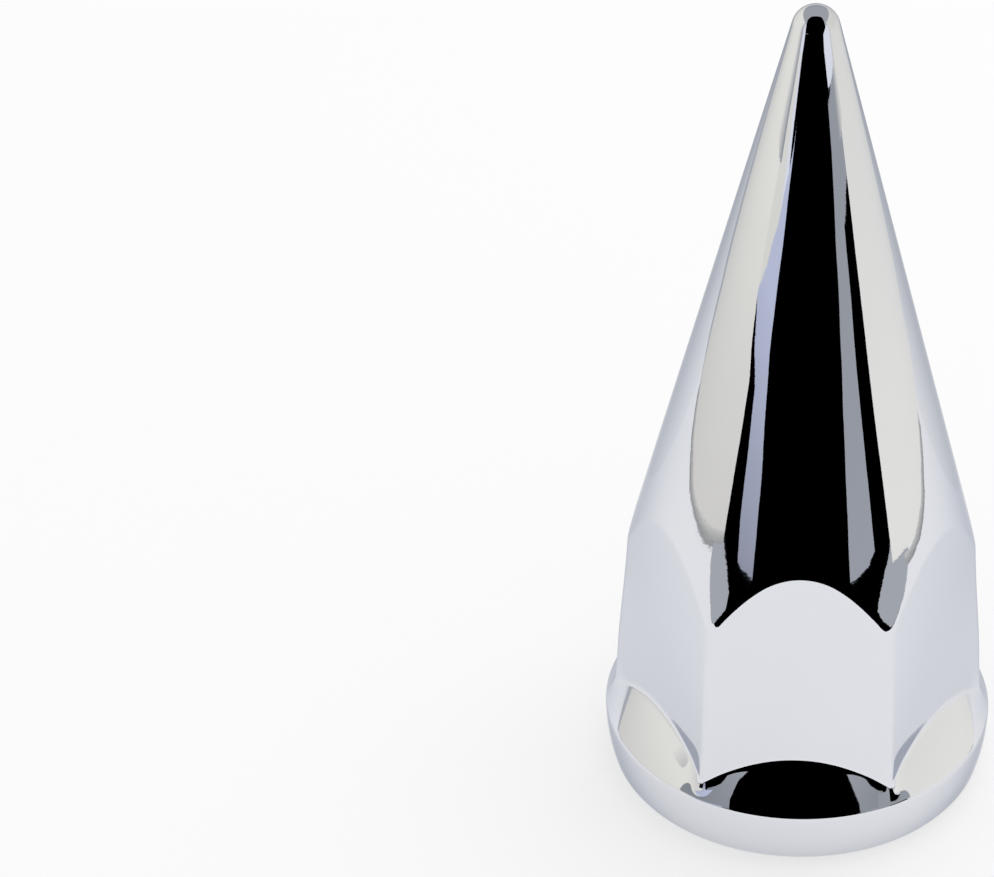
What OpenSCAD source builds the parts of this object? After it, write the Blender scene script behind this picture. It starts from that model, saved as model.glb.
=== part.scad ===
// Lug nut cap: a pointed cover that stands on its open flange and pushes down over a wheel nut.
// One moulded shell. Outside it is a round flange, a six-sided body and a long round spike.
// Inside it is a round mouth, a six-sided socket, a flat shoulder and a hollow up the spike.
// Frame: millimetres, Z up along the axis, open rim on Z = 0, flats face -Y and +Y.

/* [Overall] */
// Full height, rim to tip
overall_h = 120.65; // [100:0.05:140]

/* [Flange] */
// Widest diameter, at the crease between side band and top surface
flange_d = 54; // [46:0.5:64]
// Height of that crease above the rim
band_h = 7.9; // [5:0.1:12]
// How far the foot of the side band stands in from the crease
band_inset = 1.05; // [0.2:0.05:3]
// Radius of the gentle outward curve of the side band
band_curve_r = 25; // [12:1:60]
// Radius of the gentle outward curve of the top surface
top_curve_r = 50; // [14:1:80]
// Rise of the top surface from the crease to the middle of each flat
top_rise = 7; // [4:0.1:12]
// Step between the rim lip and the band, measured along the axis
lip_h = 0.6; // [0.3:0.1:1.5]
// How far the rim lip stands in from the foot of the band
lip_inset = 0.4; // [0.1:0.05:2]
// Width of the lip's flat face, from its outside to the mouth
lip_wall = 1.15; // [0.8:0.05:3]

/* [Six-sided body] */
// How far the body's corners, carried down to the rim level, stand in from the crease
corner_inset = 0.96; // [0.5:0.02:4]
// Lean of each flat towards the tip, in degrees
hex_draft = 2.4; // [0.5:0.1:4]
// Radius of the gentle outward curve of each flat, from corner to corner
flat_curve_r = 100; // [60:5:300]

/* [Spike] */
// Loss of the spike's radius per millimetre of height
cone_slope = 0.252; // [0.21:0.003:0.3]
// Radius of the ball end at the tip
tip_r = 3.2; // [1.5:0.1:5]

/* [Mouth and socket] */
// How far below the crease the straight part of the mouth ends
mouth_drop = 1; // [0.5:0.1:3]
// How far below the foot of the flats the mouth has narrowed to the socket flats
flare_drop = 1.3; // [1:0.1:4]
// Wall between each outside flat and the socket flat behind it, carried down to the rim level
flat_wall = 2.95; // [2:0.05:4]
// Lean of each socket flat towards the tip, in degrees
socket_draft = 1.6; // [0.5:0.1:4]
// Height of the flat shoulder at the deep end of the socket
shoulder_h = 28; // [20:0.5:36]

/* [Stud hollow] */
// Diameter of the round hole through the shoulder
hole_d = 25.4; // [16:0.1:34]
// Radius of the rounded edge around that hole
hole_edge_r = 1; // [0.3:0.1:2]
// Wall of the spike, measured level, where the hollow follows the outside
spike_wall = 2.6; // [1.8:0.1:4]
// Radius of the ball end of the hollow
hollow_end_r = 3; // [1:0.1:5]

/* [Hidden] */
$fn = 180;
chrome = [0.86, 0.87, 0.89];
// Room that a cutting solid runs past what it cuts
over = 1;
flange_r = flange_d / 2;
band_foot_r = flange_r - band_inset;
lip_r = band_foot_r - lip_inset;
mouth_r = lip_r - lip_wall;
hole_r = hole_d / 2;
// Distance from the axis to each corner, and to the middle of each flat, at the rim level.
// A corner is where the curves of two neighbouring flats meet.
corner_r = flange_r - corner_inset;
hex_r = corner_r * cos(30) + flat_curve_r - sqrt(pow(flat_curve_r, 2) - pow(corner_r / 2, 2));
// Height where the top surface runs into the middle of each flat
flat_foot_h = band_h + top_rise;
// Heights where the straight mouth ends, and where it has narrowed to the socket flats
mouth_h = band_h - mouth_drop;
flare_h = flat_foot_h - flare_drop;
// Half distance across the flats at a height, outside and in the socket
function flat_r(z) = hex_r - z * tan(hex_draft);
function socket_r(z) = hex_r - flat_wall - z * tan(socket_draft);
// Angle of the spike's side from the axis
cone_angle = atan(cone_slope);
// The tip ball's centre, the height where the cone touches it, and where the cone would end in a point
tip_z = overall_h - tip_r;
tip_touch_z = tip_z + tip_r * sin(cone_angle);
cone_point_h = tip_z + tip_r / sin(cone_angle);
// Radius of the spike's cone at a height
function cone_r(z) = (cone_point_h - z) * cone_slope;
// The spike starts at the foot of the flats, hidden inside the six-sided body
spike_z = band_h;
// Radius where the flange's top surface meets the middle of a flat
flat_foot_r = flat_r(flat_foot_h);
// Side of a block that is wide enough to shape one socket flat
block = 2 * flange_d;
// The hollow's straight part stops where it reaches the spike's inner cone
hollow_top_z = cone_point_h - (hole_r + spike_wall) / cone_slope;
// The hollow's end ball sits where its radius meets the inner cone
hollow_end_z = cone_point_h - (hollow_end_r + spike_wall) / cone_slope;

// Centre of the circle of radius r through p and q, on the side of the axis
function arc_centre(p, q, r) =
    let (
        d = q - p,
        half = norm(d) / 2,
        out = [d[1], -d[0]] / norm(d)
    )
    (p + q) / 2 - out * sqrt(r * r - half * half);

band_foot = [band_foot_r, lip_h];
crease = [flange_r, band_h];
top_end = [flat_foot_r, flat_foot_h];
band_centre = arc_centre(band_foot, crease, band_curve_r);
top_centre = arc_centre(crease, top_end, top_curve_r);

// Half section of the flange: a box rounded by the two curves that meet at the crease.
// Its top ends a little above the foot of the flats, hidden inside the six-sided body.
module flange_section() {
    intersection() {
        translate([0, lip_h])
            square([flange_r + over, flat_foot_h - lip_h + over]);
        translate(band_centre)
            circle(r = band_curve_r, $fn = 720);
        translate(top_centre)
            circle(r = top_curve_r, $fn = 720);
    }
}

// The flange with the rim lip that stands below its band
module flange_body() {
    rotate_extrude()
        flange_section();
    cylinder(h = lip_h + over, r = lip_r);
}

// Everything inside the six outside flats. Each flat is a strip of a wide leaning cylinder.
// The cylinders run far past both ends, so that only their leaning sides shape anything.
module six_flats() {
    intersection_for (i = [0:5])
        rotate([0, 0, 30 + 60 * i])
            translate([hex_r, 0, 0])
                rotate([0, -hex_draft, 0])
                    translate([-flat_curve_r, 0, -overall_h])
                        cylinder(h = 3 * overall_h, r = flat_curve_r, $fn = 720);
}

// Everything inside the six socket flats, which are leaning planes
module six_planes() {
    intersection_for (i = [0:5])
        rotate([0, 0, 30 + 60 * i])
            translate([hex_r - flat_wall, 0, 0])
                rotate([0, -socket_draft, 0])
                    translate([-block, -block / 2, -overall_h])
                        cube([block, block, 3 * overall_h]);
}

// The round spike, full width down to the flange, with its ball end
module spike_body() {
    translate([0, 0, spike_z])
        cylinder(h = tip_touch_z - spike_z, r1 = cone_r(spike_z), r2 = cone_r(tip_touch_z));
    translate([0, 0, tip_z])
        sphere(r = tip_r);
}

// The six flats trim the spike's lower part
module outside() {
    flange_body();
    intersection() {
        six_flats();
        spike_body();
    }
}

// Round mouth and the flare that narrows to the socket
module mouth_space() {
    translate([0, 0, -over])
        cylinder(h = mouth_h + over, r = mouth_r);
    translate([0, 0, mouth_h])
        cylinder(h = flare_h - mouth_h, r1 = mouth_r, r2 = socket_r(flare_h));
}

// Six-sided socket, kept inside the round mouth at its open end
module socket_space() {
    intersection() {
        six_planes();
        cylinder(h = shoulder_h, r = mouth_r);
    }
}

// Rounded edge where the hole meets the shoulder
module hole_edge_space() {
    rotate_extrude()
        translate([hole_r, shoulder_h])
            difference() {
                square(hole_edge_r);
                translate([hole_edge_r, hole_edge_r])
                    circle(r = hole_edge_r, $fn = 96);
            }
}

// Straight hollow above the shoulder, then a cone that follows the spike up to a ball end
module hollow_space() {
    translate([0, 0, shoulder_h - over])
        cylinder(h = hollow_top_z - shoulder_h + over, r = hole_r);
    translate([0, 0, hollow_top_z])
        cylinder(h = hollow_end_z - hollow_top_z, r1 = hole_r, r2 = hollow_end_r);
    translate([0, 0, hollow_end_z])
        sphere(r = hollow_end_r);
}

module nut_cap() {
    color(chrome)
        difference() {
            outside();
            mouth_space();
            socket_space();
            hole_edge_space();
            hollow_space();
        }
}

nut_cap();
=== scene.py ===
# %% [markdown]
# # A chrome lug nut cap
#
# The object is one moulded plastic cap with a bright chrome skin. It stands on its open flange,
# with six flats above the flange and a long round spike above the flats. The imported CAD model is
# the fixed frame, and everything here is in metres in that same frame. Chrome has no colour of
# its own: it shows what stands round it. So half of this lesson is the exact form of the skin,
# and the other half is the small studio of glowing boards and black cards that the skin mirrors,
# with the black cards as painted shade of the dark parts of the room.

# %% Load the frame and keep its box
import math

import bpy
from mathutils import Matrix, Vector


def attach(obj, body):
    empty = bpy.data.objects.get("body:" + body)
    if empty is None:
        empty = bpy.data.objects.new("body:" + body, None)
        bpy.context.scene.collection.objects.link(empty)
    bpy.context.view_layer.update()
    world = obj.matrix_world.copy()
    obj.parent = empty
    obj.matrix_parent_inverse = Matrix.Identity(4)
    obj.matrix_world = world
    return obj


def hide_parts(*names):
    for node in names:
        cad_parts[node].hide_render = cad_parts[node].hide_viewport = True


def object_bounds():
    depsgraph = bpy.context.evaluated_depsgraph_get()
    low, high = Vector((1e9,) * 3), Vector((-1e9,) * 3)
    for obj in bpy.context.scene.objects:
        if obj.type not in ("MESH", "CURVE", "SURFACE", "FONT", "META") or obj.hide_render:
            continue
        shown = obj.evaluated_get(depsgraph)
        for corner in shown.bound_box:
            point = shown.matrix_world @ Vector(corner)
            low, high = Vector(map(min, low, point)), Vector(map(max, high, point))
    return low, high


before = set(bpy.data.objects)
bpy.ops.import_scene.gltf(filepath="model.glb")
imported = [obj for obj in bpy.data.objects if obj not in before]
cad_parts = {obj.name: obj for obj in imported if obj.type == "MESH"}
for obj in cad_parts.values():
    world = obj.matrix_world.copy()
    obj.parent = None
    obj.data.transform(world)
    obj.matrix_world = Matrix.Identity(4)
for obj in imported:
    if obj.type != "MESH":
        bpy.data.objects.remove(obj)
cad_low, cad_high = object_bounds()
MM = 0.001
print("CAD box in mm:", [round(v / MM, 2) for v in (*cad_low, *cad_high)])

# %% [markdown]
# ## Camera
#
# The photo looks down on the cap from a little under forty degrees, through a long lens, with
# the cap at the right of the frame. A long lens could be guessed by eye, but the cap's own
# outline holds it much closer, so the place and lens fitted to it are written here. The camera
# leans a little, so its aim is turned by a small roll. The photo doesn't face the front flat
# quite squarely, so the camera is turned round the cap by a degree.

# %% Place the camera
IMAGE_WIDTH_PX = 994
FOCAL_PX = 4723.6
SENSOR_MM = 36.0
CAMERA_AT_MM = Vector((3.77, -522.78, 427.87))
CAMERA_AIM_MM = Vector((-48.1, 70.9, 0.0))
CAMERA_ROLL_DEG = -1.03
STUDIO_TURN = Matrix.Rotation(math.radians(-1.0), 4, "Z")

camera = bpy.data.objects.new("camera", bpy.data.cameras.new("camera"))
bpy.context.scene.collection.objects.link(camera)
bpy.context.scene.camera = camera
camera.data.sensor_width = SENSOR_MM
camera.data.lens = FOCAL_PX / IMAGE_WIDTH_PX * SENSOR_MM
camera.data.clip_start, camera.data.clip_end = 0.02, 20.0
look = (CAMERA_AIM_MM - CAMERA_AT_MM).to_track_quat("-Z", "Y").to_matrix().to_4x4()
roll = Matrix.Rotation(math.radians(CAMERA_ROLL_DEG), 4, "Z")
camera.matrix_world = STUDIO_TURN @ Matrix.Translation(CAMERA_AT_MM * MM) @ look @ roll
print("camera lens in mm:", round(camera.data.lens, 1))

# %% [markdown]
# ## Sizes
#
# The flange, the spike and the inside repeat the sizes of the CAD model, in millimetres, because
# the skin has to stand where that model stands. The height and the flange are read from the
# frame, and the rest hangs on them by the same insets as in the CAD model. The crease stands in
# by a hair, so that no rounding of numbers carries the skin past the CAD box. The flats outside
# and their foot have sizes of their own, which come further down.

# %% Sizes of the flange and the spike
OVERALL_H = round(cad_high[2] / MM, 3)
FLANGE_R = round(cad_high[0] / MM, 3)
BAND_INSET, LIP_INSET, LIP_WALL, CREASE_INSET = 1.05, 0.4, 1.15, 0.015
BAND_H, LIP_H = 7.9, 0.6
BAND_CURVE_R = 25.0
BAND_FOOT_R = FLANGE_R - BAND_INSET
LIP_R = BAND_FOOT_R - LIP_INSET
CREASE = (FLANGE_R - CREASE_INSET, BAND_H)

CONE_SLOPE = 0.252
TIP_R = 3.2
CONE_ANGLE = math.atan(CONE_SLOPE)
TIP_Z = OVERALL_H - TIP_R
TIP_TOUCH_Z = TIP_Z + TIP_R * math.sin(CONE_ANGLE)
CONE_POINT_Z = TIP_Z + TIP_R / math.sin(CONE_ANGLE)
print("tip ball touches the cone at", round(TIP_TOUCH_Z, 2), "mm")

# %% Sizes of the inside
SIXTH = math.pi / 6
CORNER_INSET, FLAT_CURVE_R, FLAT_WALL = 0.96, 100.0, 2.95
MOUTH_DROP, TOP_RISE, FLARE_DROP = 1.0, 7.0, 1.3
SOCKET_DRAFT = math.tan(math.radians(1.6))
SHOULDER_H = 28.0
HOLE_R, HOLE_EDGE_R = 12.7, 1.0
SPIKE_WALL, HOLLOW_END_R = 2.6, 3.0

CORNER_R = FLANGE_R - CORNER_INSET
FLAT_BULGE = FLAT_CURVE_R - math.sqrt(FLAT_CURVE_R**2 - (CORNER_R / 2) ** 2)
SOCKET_AT_RIM_R = CORNER_R * math.cos(SIXTH) + FLAT_BULGE - FLAT_WALL
MOUTH_R, MOUTH_H = LIP_R - LIP_WALL, BAND_H - MOUTH_DROP
FLARE_H = BAND_H + TOP_RISE - FLARE_DROP
HOLLOW_TOP_Z = CONE_POINT_Z - (HOLE_R + SPIKE_WALL) / CONE_SLOPE
HOLLOW_END_Z = CONE_POINT_Z - (HOLLOW_END_R + SPIKE_WALL) / CONE_SLOPE
print("stud hollow is straight up to", round(HOLLOW_TOP_Z, 2), "mm")

# %% [markdown]
# ## The form, one column at a time
#
# A hexagon that turns into a round spike could be cut with Booleans, but the cuts would leave
# long thin faces, and chrome shows every one of them as a kink. Here the skin is a net of
# columns instead. Each column is the cap's half section at one angle, from the end of the
# hollow down to the rim and up the outside to the tip, with the same number of points. The
# rows of the net then follow the arches and the foot of the flats by themselves.

# %% Small helpers for a half section
def arc_centre(p, q, radius):
    """Centre of the circle through p and q, on the side of the axis."""
    dx, dz = q[0] - p[0], q[1] - p[1]
    length = math.hypot(dx, dz)
    back = math.sqrt(radius * radius - length * length / 4)
    return ((p[0] + q[0]) / 2 - dz / length * back, (p[1] + q[1]) / 2 + dx / length * back)


def on_arc(centre, radius, angle):
    """The point of a circle at an angle above the level."""
    return (centre[0] + radius * math.cos(angle), centre[1] + radius * math.sin(angle))


def arc(centre, radius, first, last, count):
    """Points of a circle from one angle to just before another, evenly spaced."""
    return [on_arc(centre, radius, first + (last - first) * i / count) for i in range(count)]


def angle_of(centre, point):
    """The angle above the level at which a point is seen from a centre."""
    return math.atan2(point[1] - centre[1], point[0] - centre[0])


def line(p, q, count):
    """Points from p to just before q, evenly spaced."""
    return [(p[0] + (q[0] - p[0]) * i / count, p[1] + (q[1] - p[1]) * i / count) for i in range(count)]


def bend(p, corner, q, count):
    """Points from p to just before q, along a curve that the corner between them draws out."""
    made = []
    for i in range(count):
        t = i / count
        a, b, c = (1 - t) * (1 - t), 2 * t * (1 - t), t * t
        made.append((a * p[0] + b * corner[0] + c * q[0], a * p[1] + b * corner[1] + c * q[1]))
    return made


def root(function, low, high):
    """Where a function that starts below zero and ends above it crosses zero."""
    for _ in range(40):
        middle = (low + high) / 2
        if function(middle) < 0:
            low = middle
        else:
            high = middle
    return (low + high) / 2


BAND_CENTRE = arc_centre((BAND_FOOT_R, LIP_H), CREASE, BAND_CURVE_R)
print("band curve centre:", [round(v, 2) for v in BAND_CENTRE])

# %% [markdown]
# ## Flats, corners and spike
#
# Moulded plastic has no knife edges, and the plating rounds them a little more. So the corners
# between the flats have a radius, and where a flat runs into the spike the two surfaces blend
# over a fraction of a millimetre: that narrow edge is the bright line along each arch. The
# flats are almost plane at their foot and grow gently fuller upward, which gives the arches
# their round tops. At its foot each corner stands out a little, as a small claw. The spike is a
# straight cone that meets the corners at the arches' ends.

# %% Radius of the outside at any height and angle
FLAT_AT_RIM_R, FLAT_LEAN = 22.48, 0.0195
FOOT_Z, ARCH_Z = 14.4, 38.0
FLAT_CURVE_FOOT, FLAT_CURVE_ARCH = 1 / 2000, 1 / 90
CORNER_R_FOOT, CORNER_R_ARCH = 1.2, 3.0
CLAW_OUT = 0.25
CLAW_START_DEG, CLAW_FULL_DEG = 23, 30
CLAW_LOW_Z, CLAW_HIGH_Z = 10.5, 15.0
ARCH_EDGE = 0.03
ARCH_SEARCH = (20.0, 60.0)


def smooth_step(value, low, high):
    """Rises gently from 0 at low to 1 at high."""
    t = min(1.0, max(0.0, (value - low) / (high - low)))
    return t * t * (3 - 2 * t)


def rounded_hexagon(flat, angle, curve_r, corner_r):
    """Distance from the axis to a curved flat or its rounded corner, at an angle from its middle."""
    centre = flat - curve_r
    side, reach_in = centre * math.sin(SIXTH), centre * math.cos(SIXTH)
    reach = reach_in + math.sqrt((curve_r - corner_r) ** 2 - side**2)
    turn = math.atan2(reach * math.sin(SIXTH), reach * math.cos(SIXTH) - centre)
    touch = math.atan2(curve_r * math.sin(turn), centre + curve_r * math.cos(turn))
    if abs(angle) <= touch:
        return centre * math.cos(angle) + math.sqrt(curve_r**2 - (centre * math.sin(angle)) ** 2)
    off = SIXTH - abs(angle)
    return reach * math.cos(off) + math.sqrt(corner_r**2 - (reach * math.sin(off)) ** 2)


def body_r(z, angle):
    """The six-sided body: it leans in upward, and its flats grow fuller towards the arches."""
    up = smooth_step(z, FOOT_Z, ARCH_Z)
    curve_r = 1 / (FLAT_CURVE_FOOT + (FLAT_CURVE_ARCH - FLAT_CURVE_FOOT) * up)
    corner_r = CORNER_R_FOOT + (CORNER_R_ARCH - CORNER_R_FOOT) * up
    near_corner = smooth_step(abs(math.degrees(angle)), CLAW_START_DEG, CLAW_FULL_DEG)
    claw = CLAW_OUT * near_corner * (1 - smooth_step(z, CLAW_LOW_Z, CLAW_HIGH_Z))
    return rounded_hexagon(FLAT_AT_RIM_R - z * FLAT_LEAN, angle, curve_r, corner_r) + claw


def spike_r(z):
    """The round spike is a straight cone."""
    return (CONE_POINT_Z - z) * CONE_SLOPE


def outside_r(z, angle):
    """The smaller of body and spike, eased where they meet."""
    a, b = body_r(z, angle), spike_r(z)
    return (a + b) / 2 - math.sqrt(((a - b) / 2) ** 2 + ARCH_EDGE**2)


def arch_height(angle):
    """Height at which the body runs into the spike."""
    return root(lambda z: body_r(z, angle) - spike_r(z), *ARCH_SEARCH)


print("arches run from", round(arch_height(SIXTH), 1), "to", round(arch_height(0), 1), "mm high")

# %% [markdown]
# ## Outside column
#
# From the rim upward: the flat lip that the cap stands on, a fine step, the side band, the
# crease, the curved top of the flange, a small fillet, the flat, the arch, the spike and its
# ball end. Each edge is a short bend of a few rows, so that it catches light as a line. The top
# of the flange is one long bend whose foot line drops towards each corner of the body.

# %% Write the outside of one column
EDGE, CREASE_EASE, FOOT_EASE = 0.14, 0.45, 0.6
LIP_FACE = 0.5
TOP_SLOPE = math.radians(32)
FOOT_DROP, FOOT_POWER = 3.9, 2.15
BAND_ROWS, TOP_ROWS, FLAT_ROWS, SPIKE_ROWS, BALL_ROWS = 12, 24, 16, 30, 10
FLAT_CROWDING = 1.3
ARCH_STEPS = (-2.2, -1.2, -0.6, -0.3, -0.15, -0.06, 0.0, 0.06, 0.15, 0.3, 0.6, 1.2, 2.2)


def foot_height(angle):
    """Height of the foot of the flats: almost level along a flat, dropping at each corner."""
    return FOOT_Z - FOOT_DROP * abs(angle / SIXTH) ** FOOT_POWER


def lip_and_band():
    """Rows from the lip's face over its step to just before the band's end, and that end."""
    low = angle_of(BAND_CENTRE, (BAND_FOOT_R, LIP_H)) + EDGE / BAND_CURVE_R
    high = angle_of(BAND_CENTRE, CREASE) - CREASE_EASE / BAND_CURVE_R
    rows = line((LIP_R - EDGE - LIP_FACE, 0.0), (LIP_R - EDGE, 0.0), 1)
    rows += bend((LIP_R - EDGE, 0.0), (LIP_R, 0.0), (LIP_R, EDGE), 4)
    rows += bend((LIP_R, EDGE), (LIP_R, LIP_H), (LIP_R + EDGE, LIP_H), 4)
    rows += bend((LIP_R + EDGE, LIP_H), (BAND_FOOT_R, LIP_H), on_arc(BAND_CENTRE, BAND_CURVE_R, low), 4)
    rows += arc(BAND_CENTRE, BAND_CURVE_R, low, high, BAND_ROWS)
    return rows, on_arc(BAND_CENTRE, BAND_CURVE_R, high)


def flat_and_spike(angle, start_z):
    """Rows up the flat, closely over the arch, and up the spike to just before the tip."""
    arch_z = arch_height(angle)
    low, high = arch_z + ARCH_STEPS[0], arch_z + ARCH_STEPS[-1]
    heights = [start_z + (low - start_z) * (i / FLAT_ROWS) ** FLAT_CROWDING for i in range(FLAT_ROWS)]
    heights += [arch_z + step for step in ARCH_STEPS]
    heights += [high + (TIP_TOUCH_Z - high) * i / SPIKE_ROWS for i in range(1, SPIKE_ROWS)]
    rows = [(outside_r(z, angle), z) for z in heights]
    return rows + arc((0.0, TIP_Z), TIP_R, CONE_ANGLE, math.pi / 2, BALL_ROWS)


def outside_column(angle):
    """Half section of the outside at one angle, from the rim's outer edge to just before the tip."""
    foot_z = foot_height(angle)
    foot = (body_r(foot_z, angle), foot_z)
    half = math.dist(CREASE, foot) / 2
    middle = (CREASE[0] - half * math.sin(TOP_SLOPE), CREASE[1] + half * math.cos(TOP_SLOPE))
    top = bend(CREASE, middle, foot, TOP_ROWS)
    flat_z = foot_z + FOOT_EASE
    rows, band_end = lip_and_band()
    rows += bend(band_end, CREASE, top[1], 6) + top[1:-2]
    rows += bend(top[-2], foot, (body_r(flat_z, angle), flat_z), 10)
    return rows + flat_and_spike(angle, flat_z)


print("rows outside:", len(outside_column(0.0)))

# %% [markdown]
# ## Inside column
#
# The mouth is round, and narrows to a six-sided socket in the same arched way as the outside.
# At its deep end is a flat shoulder with a round hole, and the hollow goes on up the spike
# until it ends in a ball. The photo tells all of this as far as the hole. The hollow above it
# is out of sight, so it is a plain one that follows the spike.

# %% Write the inside of one column
SOCKET_CORNER_R = 1.2
PLANE_R = 100000.0


def socket_flat(z):
    """Distance from the axis to a socket flat, which is a leaning plane."""
    return SOCKET_AT_RIM_R - z * SOCKET_DRAFT


def socket_r(z, angle):
    """The socket's flats with small rounded corners."""
    return rounded_hexagon(socket_flat(z), angle, PLANE_R, SOCKET_CORNER_R)


def flare_r(z):
    """The cone that narrows the mouth down to the socket's flats."""
    return MOUTH_R + (socket_flat(FLARE_H) - MOUTH_R) * (z - MOUTH_H) / (FLARE_H - MOUTH_H)


def inside_column(angle):
    """Half section of the inside at one angle, from just below the hollow's end to the rim."""
    rows = arc((0.0, HOLLOW_END_Z), HOLLOW_END_R, math.pi / 2, 0.0, 9)[1:]
    rows += line((HOLLOW_END_R, HOLLOW_END_Z), (HOLE_R, HOLLOW_TOP_Z), 8)
    rows += line((HOLE_R, HOLLOW_TOP_Z), (HOLE_R, SHOULDER_H + HOLE_EDGE_R), 8)
    edge_centre = (HOLE_R + HOLE_EDGE_R, SHOULDER_H + HOLE_EDGE_R)
    rows += arc(edge_centre, HOLE_EDGE_R, math.pi, math.pi * 1.5, 6)
    deep = socket_r(SHOULDER_H, angle)
    rows += line((HOLE_R + HOLE_EDGE_R, SHOULDER_H), (deep - EDGE, SHOULDER_H), 6)
    rows += bend((deep - EDGE, SHOULDER_H), (deep, SHOULDER_H), (deep, SHOULDER_H - EDGE), 3)
    meet_z = root(lambda z: socket_r(z, angle) - flare_r(z), MOUTH_H, FLARE_H + EDGE)
    high_z, low_z = meet_z + 2 * EDGE, meet_z - 2 * EDGE
    for i in range(10):
        z = SHOULDER_H - EDGE + (high_z - SHOULDER_H + EDGE) * i / 10
        rows.append((socket_r(z, angle), z))
    low = (flare_r(low_z), low_z) if low_z > MOUTH_H else (MOUTH_R, low_z)
    rows += bend((socket_r(high_z, angle), high_z), (flare_r(meet_z), meet_z), low, 5)
    step_z = min(low_z, MOUTH_H)
    rows += line(low, (MOUTH_R, step_z - EDGE), 5)
    rows += line((MOUTH_R, step_z - EDGE), (MOUTH_R, EDGE), 6)
    rows += bend((MOUTH_R, EDGE), (MOUTH_R, 0.0), (MOUTH_R + EDGE, 0.0), 4)
    rows += line((MOUTH_R + EDGE, 0.0), (LIP_R - EDGE - LIP_FACE, 0.0), 1)
    return rows


INSIDE_ROWS = len(inside_column(0.0))
print("rows inside:", INSIDE_ROWS)

# %% [markdown]
# ## The net of the skin
#
# The columns stand closer together at the corners, where the form turns fast, and wider on the
# flats. Neighbouring columns are joined by four-sided faces, and the two ends are closed round
# one point each, so the skin is one closed shell like the moulding itself.

# %% Join the columns into one shell
WIDE_DEG, CORNER_DEG = 25.0, 30.0
FINE_COLUMNS, WIDE_COLUMNS = 10, 40


def column_angles():
    """Angles from a flat's middle, in radians, from one corner to just before the next."""
    spans = [(-CORNER_DEG, -WIDE_DEG, FINE_COLUMNS), (-WIDE_DEG, WIDE_DEG, WIDE_COLUMNS)]
    spans.append((WIDE_DEG, CORNER_DEG, FINE_COLUMNS))
    return [math.radians(a + (b - a) * i / count) for a, b, count in spans for i in range(count)]


def build_skin(name):
    """The closed shell as a mesh, with material 0 outside and material 1 inside."""
    verts, faces, inner = [], [], []
    sections = [(angle, inside_column(angle) + outside_column(angle)) for angle in column_angles()]
    for side in range(6):
        for angle, rows in sections:
            turn = math.radians(-90 + 60 * side) + angle
            verts += [(r * math.cos(turn) * MM, r * math.sin(turn) * MM, z * MM) for r, z in rows]
    columns = 6 * len(sections)
    count = len(verts) // columns
    hollow_end, tip = len(verts), len(verts) + 1
    verts += [(0, 0, (HOLLOW_END_Z + HOLLOW_END_R) * MM), (0, 0, OVERALL_H * MM)]
    for c in range(columns):
        here, there = c * count, (c + 1) % columns * count
        faces.append((hollow_end, there, here))
        inner.append(True)
        for i in range(count - 1):
            faces.append((here + i, there + i, there + i + 1, here + i + 1))
            inner.append(i < INSIDE_ROWS - 1)
        faces.append((here + count - 1, there + count - 1, tip))
        inner.append(False)
    mesh = bpy.data.meshes.new(name)
    mesh.from_pydata(verts, [], faces)
    mesh.polygons.foreach_set("use_smooth", [True] * len(faces))
    mesh.polygons.foreach_set("material_index", [int(i) for i in inner])
    mesh.update()
    return mesh


cap = bpy.data.objects.new("cap_skin", build_skin("cap_skin"))
bpy.context.scene.collection.objects.link(cap)
steady = cap.modifiers.new("steady_normals", "WEIGHTED_NORMAL")
steady.mode = "FACE_AREA"
steady.weight = 50
steady.keep_sharp = True
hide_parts("nut_cap")
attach(cap, "root")
print("faces in the skin:", len(cap.data.polygons))

# %% [markdown]
# ## Finish: shared effects
#
# Two effects are used on the outside and the inside alike, so each is a node group. The first
# is the faint waviness of plated plastic: real chrome caps are never optically flat, and
# without it the mirror lines look drawn with a ruler. The second is a thin uneven film, as
# from handling and rinsing, which takes the gloss down a touch in soft clouds.

# %% Build the wave group
def new_group(name, inputs, outputs):
    """An empty shader node group with named sockets; returns the group and its two ends."""
    group = bpy.data.node_groups.new(name, "ShaderNodeTree")
    for label, value in inputs.items():
        socket = group.interface.new_socket(label, in_out="INPUT", socket_type="NodeSocketFloat")
        socket.default_value = value
    for label in outputs:
        group.interface.new_socket(label, in_out="OUTPUT", socket_type="NodeSocketFloat")
    return group, group.nodes.new("NodeGroupInput"), group.nodes.new("NodeGroupOutput")


def noise(tree, vector, detail):
    """A noise texture that reads one place vector, with a given amount of fine detail."""
    node = tree.nodes.new("ShaderNodeTexNoise")
    node.inputs["Detail"].default_value = detail
    tree.links.new(vector, node.inputs["Vector"])
    return node


def make_plating_wave():
    """Height of long soft waves with a finer grain on them, as plated plastic has."""
    group, given, out = new_group(
        "plating_wave", {"Wave Scale": 60.0, "Grain Scale": 900.0, "Grain Share": 0.15}, ["Height"]
    )
    place = group.nodes.new("ShaderNodeTexCoord").outputs["Object"]
    wave, grain = noise(group, place, 1.0), noise(group, place, 2.0)
    group.links.new(given.outputs["Wave Scale"], wave.inputs["Scale"])
    group.links.new(given.outputs["Grain Scale"], grain.inputs["Scale"])
    both = group.nodes.new("ShaderNodeMath")
    both.operation = "MULTIPLY_ADD"
    group.links.new(grain.outputs["Fac"], both.inputs[0])
    group.links.new(given.outputs["Grain Share"], both.inputs[1])
    group.links.new(wave.outputs["Fac"], both.inputs[2])
    group.links.new(both.outputs["Value"], out.inputs["Height"])
    return group


plating_wave = make_plating_wave()
print("wave group:", [item.name for item in plating_wave.interface.items_tree])

# %% Build the film group
FILM_FROM, FILM_FULL = 0.45, 0.75


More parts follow.
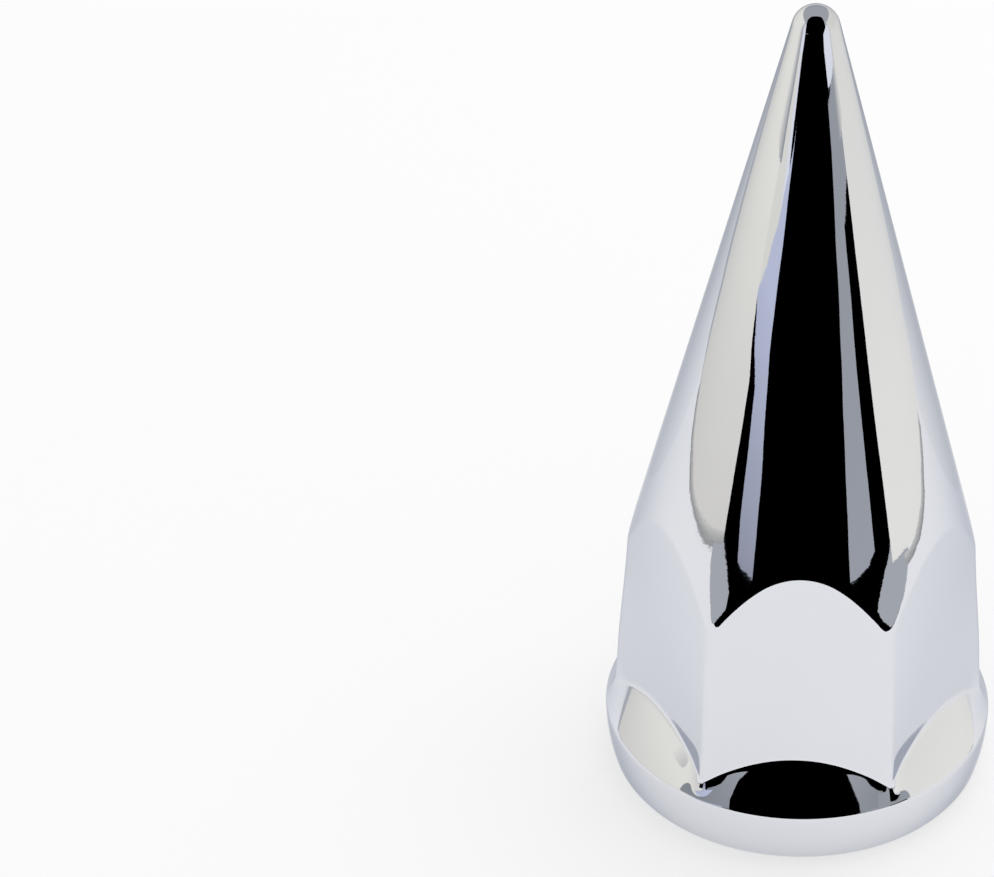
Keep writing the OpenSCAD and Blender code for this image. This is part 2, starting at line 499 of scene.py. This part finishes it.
def spread(tree, value, low, high):
    """Stretches a value between low and high over the range 0 to 1."""
    node = tree.nodes.new("ShaderNodeMapRange")
    node.inputs["From Min"].default_value = low
    node.inputs["From Max"].default_value = high
    tree.links.new(value, node.inputs["Value"])
    return node


def make_thin_film():
    """Roughness that moves between a clean and a filmed value in soft clouds."""
    group, given, out = new_group(
        "thin_film",
        {"Cloud Scale": 35.0, "Clean Roughness": 0.02, "Filmed Roughness": 0.06},
        ["Roughness", "Film"],
    )
    place = group.nodes.new("ShaderNodeTexCoord").outputs["Object"]
    cloud = noise(group, place, 4.0)
    group.links.new(given.outputs["Cloud Scale"], cloud.inputs["Scale"])
    film = spread(group, cloud.outputs["Fac"], FILM_FROM, FILM_FULL)
    level = group.nodes.new("ShaderNodeMapRange")
    group.links.new(film.outputs["Result"], level.inputs["Value"])
    group.links.new(given.outputs["Clean Roughness"], level.inputs["To Min"])
    group.links.new(given.outputs["Filmed Roughness"], level.inputs["To Max"])
    group.links.new(level.outputs["Result"], out.inputs["Roughness"])
    group.links.new(film.outputs["Result"], out.inputs["Film"])
    return group


thin_film = make_thin_film()
print("film group:", [item.name for item in thin_film.interface.items_tree])

# %% [markdown]
# ## Finish: bright chrome outside
#
# Chrome plate is a full metal with a cool grey of its own. In the photo a white table shows in
# it as a light blue-grey, which gives the metal's colour. The film lightens it by a trace and
# the wave bends the mirror image through a very low bump.

# %% Chrome for the outside
CHROME = (0.755, 0.77, 0.815, 1.0)
CHROME_FILMED = (0.775, 0.785, 0.82, 1.0)
EDGE_TINT = (0.62, 0.64, 0.69, 1.0)
OUTER_WAVE_M = 0.00008


def use_group(material, group, values):
    """Places a node group in a material with values of its own."""
    node = material.node_tree.nodes.new("ShaderNodeGroup")
    node.node_tree = group
    for label, value in values.items():
        node.inputs[label].default_value = value
    return node


def chrome_material(name, clean, filmed, film_values, wave_values, wave_distance):
    """A metal whose colour and gloss follow the film, and whose mirror follows the wave."""
    material = bpy.data.materials.new(name)
    material.use_nodes = True
    tree = material.node_tree
    shader = tree.nodes["Principled BSDF"]
    shader.inputs["Metallic"].default_value = 1.0
    shader.inputs["Specular Tint"].default_value = EDGE_TINT
    film = use_group(material, thin_film, film_values)
    wave = use_group(material, plating_wave, wave_values)
    tint = tree.nodes.new("ShaderNodeMix")
    tint.data_type = "RGBA"
    tint.inputs["A"].default_value = clean
    tint.inputs["B"].default_value = filmed
    tree.links.new(film.outputs["Film"], tint.inputs["Factor"])
    tree.links.new(tint.outputs["Result"], shader.inputs["Base Color"])
    tree.links.new(film.outputs["Roughness"], shader.inputs["Roughness"])
    bump = tree.nodes.new("ShaderNodeBump")
    bump.inputs["Distance"].default_value = wave_distance
    tree.links.new(wave.outputs["Height"], bump.inputs["Height"])
    tree.links.new(bump.outputs["Normal"], shader.inputs["Normal"])
    return material


outer_chrome = chrome_material(
    "bright_chrome",
    CHROME,
    CHROME_FILMED,
    {"Cloud Scale": 40.0, "Clean Roughness": 0.015, "Filmed Roughness": 0.04},
    {"Wave Scale": 70.0, "Grain Scale": 700.0, "Grain Share": 0.02},
    OUTER_WAVE_M,
)
cap.data.materials.append(outer_chrome)
print("outside finish:", outer_chrome.name)

# %% [markdown]
# ## Finish: thinner chrome inside
#
# Plating reaches into the mouth and socket, but it is thinner and less glossy there, because
# the current in the bath is weak inside a hollow. So the inside has the same two effects with a
# darker and duller setting.

# %% Chrome for the inside
INNER_CHROME = (0.66, 0.665, 0.685, 1.0)
INNER_FILMED = (0.55, 0.55, 0.56, 1.0)
INNER_WAVE_M = 0.00012
inner_chrome = chrome_material(
    "inner_chrome",
    INNER_CHROME,
    INNER_FILMED,
    {"Cloud Scale": 60.0, "Clean Roughness": 0.05, "Filmed Roughness": 0.16},
    {"Wave Scale": 90.0, "Grain Scale": 900.0, "Grain Share": 0.04},
    INNER_WAVE_M,
)
cap.data.materials.append(inner_chrome)
print("inside finish:", inner_chrome.name)

# %% [markdown]
# ## Room light and lamp
#
# The cap stands in a bright room of soft light, with one large lamp overhead for the soft shadow
# at its foot. Many small lamps could do the same, but a plain white world lights all sides evenly
# and needs no placing. The table fills the picture, and past its far edge the camera sees
# a plain light grey in place of that world. The lamp is kept out of the mirror, since the photo
# shows no lamp in the chrome.

# %% World and lamp
scene = bpy.context.scene
scene.view_settings.view_transform = "Standard"
ROOM_LIGHT = 0.81
LAMP_POWER_W, LAMP_SIZE = 2.2, 0.7
LAMP_AT = Vector((0.25, 0.25, 0.9))

world = bpy.data.worlds.new("soft_room")
scene.world = world
world.use_nodes = True
nodes, links = world.node_tree.nodes, world.node_tree.links
room = nodes["Background"]
room.inputs["Color"].default_value = (1.0, 1.0, 1.0, 1.0)
room.inputs["Strength"].default_value = ROOM_LIGHT
grey_behind = nodes.new("ShaderNodeBackground")
choose = nodes.new("ShaderNodeMixShader")
links.new(nodes.new("ShaderNodeLightPath").outputs["Is Camera Ray"], choose.inputs["Fac"])
links.new(room.outputs["Background"], choose.inputs[1])
links.new(grey_behind.outputs["Background"], choose.inputs[2])
links.new(choose.outputs["Shader"], nodes["World Output"].inputs["Surface"])

lamp = bpy.data.objects.new("overhead_lamp", bpy.data.lights.new("overhead_lamp", "AREA"))
scene.collection.objects.link(lamp)
lamp.data.energy, lamp.data.size = LAMP_POWER_W, LAMP_SIZE
lamp.location = LAMP_AT
lamp.rotation_euler = (-LAMP_AT).to_track_quat("-Z", "Y").to_euler()
lamp.visible_glossy = False
print("lamp height in m:", round(LAMP_AT.z, 2))

# %% [markdown]
# ## Table
#
# The table is a plain white sheet that runs far past the picture. A white paint alone would come
# out light grey, so a share of pure white is mixed in wherever the camera or a mirror looks at
# it. The rest stays real shading, which keeps the shadow at the foot of the cap.

# %% White table
TABLE_HALF = 4.0
TABLE_PAINT = (0.95, 0.95, 0.95, 1.0)
WHITE_SHARE = 0.56


def white_for_looking(tree, plain, share):
    """Mixes plain shading with pure white for camera, mirror and see-through rays."""
    path = tree.nodes.new("ShaderNodeLightPath")
    seen = path.outputs["Is Camera Ray"]
    for label in ("Is Glossy Ray", "Is Transmission Ray"):
        both = tree.nodes.new("ShaderNodeMath")
        both.operation = "MAXIMUM"
        tree.links.new(seen, both.inputs[0])
        tree.links.new(path.outputs[label], both.inputs[1])
        seen = both.outputs["Value"]
    part = tree.nodes.new("ShaderNodeMath")
    part.operation = "MULTIPLY"
    part.inputs[1].default_value = share
    tree.links.new(seen, part.inputs[0])
    white = tree.nodes.new("ShaderNodeEmission")
    mix = tree.nodes.new("ShaderNodeMixShader")
    tree.links.new(part.outputs["Value"], mix.inputs["Fac"])
    tree.links.new(plain, mix.inputs[1])
    tree.links.new(white.outputs["Emission"], mix.inputs[2])
    tree.links.new(mix.outputs["Shader"], tree.nodes["Material Output"].inputs["Surface"])


def square(half):
    """The four corners of a square round the origin, as (x, y) points."""
    return [(-half, -half), (half, -half), (half, half), (-half, half)]


table_mesh = bpy.data.meshes.new("white_table")
table_mesh.from_pydata([(x, y, 0) for x, y in square(TABLE_HALF)], [], [(0, 1, 2, 3)])
table = bpy.data.objects.new("white_table", table_mesh)
scene.collection.objects.link(table)
table_white = bpy.data.materials.new("table_white")
table_white.use_nodes = True
paint = table_white.node_tree.nodes["Principled BSDF"]
paint.inputs["Base Color"].default_value = TABLE_PAINT
paint.inputs["Roughness"].default_value = 1.0
paint.inputs["Specular IOR Level"].default_value = 0.0
white_for_looking(table_white.node_tree, paint.outputs["BSDF"], WHITE_SHARE)
table.data.materials.append(table_white)
print("table", 2 * TABLE_HALF, "m wide")

# %% [markdown]
# ## What the chrome mirrors
#
# In the photo the chrome shows warm white boards on both sides, a black opening in front where
# the room is dark behind the camera, a bluish and a grey stripe between them, and a grey ceiling
# in the ball of the tip. Real lamps and walls would change the light on the table, so these are
# plain glowing cards that only mirror rays see. Most were placed by following mirror rays off
# the cap, and they all turn round the cap with the camera.

# %% Helpers for the cards
cards = []


def glow_material(name, low_colour, high_colour, low, high, axis="Z"):
    """A card whose colour changes evenly along one axis, whatever lights it."""
    material = bpy.data.materials.new(name)
    material.use_nodes = True
    tree = material.node_tree
    tree.nodes.remove(tree.nodes["Principled BSDF"])
    place = tree.nodes.new("ShaderNodeSeparateXYZ")
    tree.links.new(tree.nodes.new("ShaderNodeTexCoord").outputs["Object"], place.inputs["Vector"])
    along = spread(tree, place.outputs[axis], low * MM, high * MM)
    tint = tree.nodes.new("ShaderNodeMix")
    tint.data_type = "RGBA"
    tint.inputs["A"].default_value = (*low_colour, 1.0)
    tint.inputs["B"].default_value = (*high_colour, 1.0)
    tree.links.new(along.outputs["Result"], tint.inputs["Factor"])
    glow = tree.nodes.new("ShaderNodeEmission")
    tree.links.new(tint.outputs["Result"], glow.inputs["Color"])
    tree.links.new(glow.outputs["Emission"], tree.nodes["Material Output"].inputs["Surface"])
    return material


def plain_glow(name, colour):
    """A card of one even colour."""
    return glow_material(name, colour, colour, 0, 1)


def card(name, points_mm, material):
    """A flat card through the given points, seen by mirror rays only."""
    mesh = bpy.data.meshes.new(name)
    mesh.from_pydata([Vector(p) * MM for p in points_mm], [], [tuple(range(len(points_mm)))])
    made = bpy.data.objects.new(name, mesh)
    scene.collection.objects.link(made)
    made.data.materials.append(material)
    made.visible_camera = False
    made.visible_diffuse = False
    made.visible_shadow = False
    made.matrix_world = STUDIO_TURN
    cards.append(made)


def lying(name, z, outline, material):
    """A card that lies level, with its outline given as (x, y) points."""
    card(name, [(x, y, z) for x, y in outline], material)


def side_board(name, x, outline, material):
    """A card that stands beside the cap at one x, with its outline given as (y, z) points."""
    card(name, [(x, y, z) for y, z in outline], material)


def curtain(name, distance, outline, material):
    """A card on a ring round the cap, its outline given as (azimuth from the front, z) points."""
    turns = [(math.radians(azimuth), z) for azimuth, z in outline]
    card(name, [(distance * math.sin(a), -distance * math.cos(a), z) for a, z in turns], material)


print("cards turned by", round(math.degrees(STUDIO_TURN.to_euler().z), 2), "degrees")

# %% [markdown]
# ## White boards at the sides
#
# Two boards stand beside the cap and run far back. They make the long white shapes on both sides
# of the spike, and the light almonds on the top of the flange. One even white would look cut out
# of paper. A real board is a little warm and not evenly bright from foot to top, and its foot
# lies in shade, so each is a gradient with a narrow dark strip along its foot.

# %% White boards
LEFT_X, RIGHT_X = -193.0, 172.0
BOARD_BACK_Y, BOARD_TOP_Z = 900.0, 270.0
LAYER = 1.0
right_white = glow_material("right_board_white", (0.96, 0.945, 0.88), (0.80, 0.79, 0.74), 20, 160)
right_outline = [(-94, 3), (-91, 50), (-81, 78), (-72, 90), (-72, BOARD_TOP_Z)]
right_outline += [(BOARD_BACK_Y, BOARD_TOP_Z), (BOARD_BACK_Y, 0), (60, 0), (-60, 4)]
side_board("right_board", RIGHT_X, right_outline, right_white)
left_white = glow_material("left_board_white", (0.78, 0.76, 0.71), (0.94, 0.92, 0.84), 0, 70)
left_outline = [(-147, 0), (-148, 30), (-114, 46), (-106, 60), (-104, BOARD_TOP_Z)]
left_outline += [(BOARD_BACK_Y, BOARD_TOP_Z), (BOARD_BACK_Y, 30), (170, 22), (60, 0)]
side_board("left_board", LEFT_X, left_outline, left_white)
foot_shadow = glow_material("board_foot_shadow", (0.30, 0.30, 0.30), (0.70, 0.69, 0.65), 0, 3)
left_foot = [(-146, 0), (60, 0), (60, 3), (-146, 3)]
side_board("left_board_foot_card", LEFT_X + LAYER, left_foot, foot_shadow)
right_foot = [(-60, 0), (60, 0), (60, 3), (-60, 3)]
side_board("right_board_foot_card", RIGHT_X - LAYER, right_foot, foot_shadow)
print("boards stand", LEFT_X, "and", RIGHT_X, "mm beside the axis")

# %% [markdown]
# ## The room behind the boards
#
# Behind the boards the white table lies in less light, so it is painted shade there: a grey
# strip seen under the left board, darker at its foot, and a card on the table that fades from white
# to grey farther back. The outer ends of the flange's top look there, and without that grey the
# almonds would have no end. A second white panel stands farther off on the left, past the front
# end of its board, and widens the white on the upper part of the spike.

# %% Painted shade behind the boards and a far panel
PANEL_DISTANCE = 400.0
# Painted shade: a grey strip seen under the left board, darker at its foot, for the table in less light
# there.
behind_shade = glow_material("behind_board_shade_card", (0.50, 0.51, 0.53), (0.66, 0.67, 0.69), 0, 30)
behind_outline = [(60, 0), (BOARD_BACK_Y, 0), (BOARD_BACK_Y, 34), (165, 26)]
side_board("left_behind_shade_card", LEFT_X - LAYER, behind_outline, behind_shade)
# Painted shade: the white table fades to grey farther back, where it lies in less light.
table_behind_shade = glow_material("table_behind_shade_card", (0.93, 0.93, 0.93), (0.62, 0.63, 0.65), 70, 230, "Y")
lying("table_behind_shade_card", 0.2, [(-190, 70), (170, 70), (500, 900), (-500, 900)], table_behind_shade)
far_panel = glow_material("left_panel_white", (0.84, 0.825, 0.75), (0.86, 0.85, 0.79), 36, 93)
panel_edge = [(-38.4, 49.5), (-42, 65), (-46.6, 79), (-46.6, 93)]
panel_outline = [(-38.5, 38), *panel_edge, (-68, 93), (-68, 15), (-50, 27)]
curtain("left_panel", PANEL_DISTANCE, panel_outline, far_panel)
print("cards so far:", len(cards))

# %% [markdown]
# ## Painted shade of the dark room in front
#
# Chrome without any black looks like grey plastic. The black core of the spike and the black in
# the front of the flange are the dark room behind the camera. A dark world would do that too, but
# it would also take the light from the table. So black cards stand in for that dark room as painted
# shade: one hangs in front, and one lies on the table, cut so that the white table still shows in
# the flats.

# %% Black cards for the dark room: painted shade
DARK_ROOM_BACK_Y, DARK_ROOM_HALF, ROOM_TOP_Z = -700.0, 1400.0, 1500.0
# Black cards seen only in the mirror: painted shade of the unlit room behind the camera.
black = plain_glow("dark_room_shade", (0.0, 0.0, 0.0))
wall = [(-DARK_ROOM_HALF, 0), (DARK_ROOM_HALF, 0), (DARK_ROOM_HALF, ROOM_TOP_Z), (-DARK_ROOM_HALF, ROOM_TOP_Z)]
card("dark_room_wall_card", [(x, DARK_ROOM_BACK_Y, z) for x, z in wall], black)
dark_room = [(-DARK_ROOM_HALF, -118), (-100, -118), (-60, -190), (60, -190), (110, -135), (150, -80), (175, -60)]
dark_room += [(DARK_ROOM_HALF, -60), (DARK_ROOM_HALF, DARK_ROOM_BACK_Y), (-DARK_ROOM_HALF, DARK_ROOM_BACK_Y)]
lying("dark_room_floor_card", 0.3, dark_room, black)
print("cloth wall", 2 * DARK_ROOM_HALF * MM, "m wide")

# %% [markdown]
# ## Stripes and greys
#
# Between the black core and the white boards the spike shows a grey stripe on the right and a
# bluish one on the left. A cone spreads the room over its front like a fan, so these cards stand
# on a ring and are given by azimuth and height. The flange's top looks higher up into the same
# room, and two far cards give it grey on both sides of the black.

# %% Stripes on the spike and greys in the flange
NEAR, FAR = 255.0, 600.0
FAR_TOP_Z = 800
grey = glow_material("grey_stripe", (0.40, 0.42, 0.455), (0.36, 0.375, 0.40), 0, 90)
lavender = glow_material("lavender_stripe", (0.34, 0.355, 0.43), (0.58, 0.62, 0.78), 0, 50)
dark_grey = glow_material("dark_grey_card", (0.37, 0.385, 0.415), (0.36, 0.375, 0.40), 60, 160)
mid_grey = glow_material("mid_grey_card", (0.27, 0.285, 0.305), (0.52, 0.54, 0.57), 120, 600)
right_stripe = [(31.8, 0.5), (33, 22), (35, 45), (37, 66), (51, 62), (49.5, 38), (50, 0.5)]
curtain("right_stripe", NEAR, right_stripe, grey)
dark_stripe = [(37, 65), (38.6, 81), (37, 88), (55, 88), (66, 76), (66, 63), (51, 61)]
curtain("right_dark_stripe", NEAR, dark_stripe, dark_grey)
left_stripe = [(-30, 0.5), (-31, 20), (-34.9, 38), (-36.6, 46), (-36.4, 64), (-36.6, 84), (-47, 62)]
left_stripe += [(-54.3, 51), (-61, 42), (-54, 38), (-46, 30), (-41, 0.5)]
curtain("left_stripe", NEAR, left_stripe, lavender)
left_far = [(-33.7, 120), (-34, 197), (-35, 256), (-31.8, 330), (-26.3, 412), (-16, 510)]
left_far += [(-16, FAR_TOP_Z), (-64, FAR_TOP_Z), (-64, 120)]
curtain("left_far_card", FAR, left_far, mid_grey)
right_far = [(34.4, 130), (36.6, 198), (37, 263), (33.9, 333), (30, 418), (20, 510)]
right_far += [(20, FAR_TOP_Z), (66, FAR_TOP_Z), (66, 130)]
curtain("right_far_card", FAR, right_far, mid_grey)
print("cards so far:", len(cards))

# %% [markdown]
# ## Soft ends of the white shapes
#
# In the photo the white shapes on the spike end softly in front, as the boards' front edges lie in
# shade, and two small greys show just above the ends of the front arch. Blurring the mirror would
# soften everything. So a strip with a gradient stands over each board's front edge, and the two
# greys are cards on the table.

# %% Shaded board edges and cards on the table
EDGE_BACK_Y = -50
shade = glow_material("board_edge_shade", (0.36, 0.375, 0.40), (0.93, 0.91, 0.84), -112, EDGE_BACK_Y, "Y")
left_shade = [(-118, 72), (EDGE_BACK_Y, 72), (EDGE_BACK_Y, BOARD_TOP_Z), (-118, BOARD_TOP_Z)]
side_board("left_edge_card", LEFT_X + 2 * LAYER, left_shade, shade)
right_shade = [(-112, 80), (EDGE_BACK_Y, 80), (EDGE_BACK_Y, BOARD_TOP_Z), (-112, BOARD_TOP_Z)]
side_board("right_edge_card", RIGHT_X - 2 * LAYER, right_shade, shade)
table_grey = plain_glow("lens_grey_card", (0.46, 0.475, 0.50))
left_grey = [(-197, -147), (-174, -160), (-153, -163), (-143, -150), (-136, -112), (-197, -112)]
lying("left_lens_card", 0.6, left_grey, table_grey)
right_grey = [(210, -50), (205, -108), (189, -112), (162, -131), (148, -135), (140, -96), (172, -50)]
lying("right_lens_card", 0.6, right_grey, table_grey)
print("cards so far:", len(cards))

# %% [markdown]
# ## The ball of the tip
#
# The ball shows the whole room in a few millimetres: a grey ceiling on top, the black core below
# it, and a bright line on each side. From the photo's side, cards that stand close to the cap and
# as high as the tip are mirrored only by the ball and the few millimetres below it. So the tip
# gets its own lines without a change to the rest. The far panel's front edge gets the same
# light, and a black strip of roof, the same painted shade of the dark room, goes on from the
# dark wall card, just under the ceiling.

# %% Cards for the tip
TIP_DISTANCE, SHADE_DISTANCE = 150.0, 100.0
ROOM_HALF = 5000.0
window = plain_glow("window_card", (0.86, 0.88, 0.95))
right_tip = [(34, 106), (40, 99), (64, 96), (64, 210), (50, 210), (34, 128)]
curtain("right_tip_card", TIP_DISTANCE, right_tip, window)
left_tip = [(-46, 106), (-58, 100), (-62, 215), (-54, 215), (-46, 128)]
curtain("left_tip_card", TIP_DISTANCE, left_tip, window)
tip_shade = [(-46, 121), (-50, 160), (-69, 238), (-80, 372), (80, 372), (62, 238), (50, 165), (34.5, 121)]
curtain("tip_shade_card", SHADE_DISTANCE, tip_shade, black)
curtain("left_panel_edge_card", PANEL_DISTANCE - 3 * LAYER, [*panel_edge, (-54, 93), (-46, 50)], window)
ceiling_grey = plain_glow("ceiling_grey", (0.42, 0.43, 0.45))
lying("ceiling", ROOM_TOP_Z, square(ROOM_HALF), ceiling_grey)
# The roof strip is more painted shade of the dark room, seen only in the mirror.
roof = [(-400, -ROOM_HALF), (400, -ROOM_HALF), (250, -430), (-250, -430)]
lying("dark_room_roof_card", ROOM_TOP_Z - 10 * LAYER, roof, black)
print("cards in all:", len(cards))
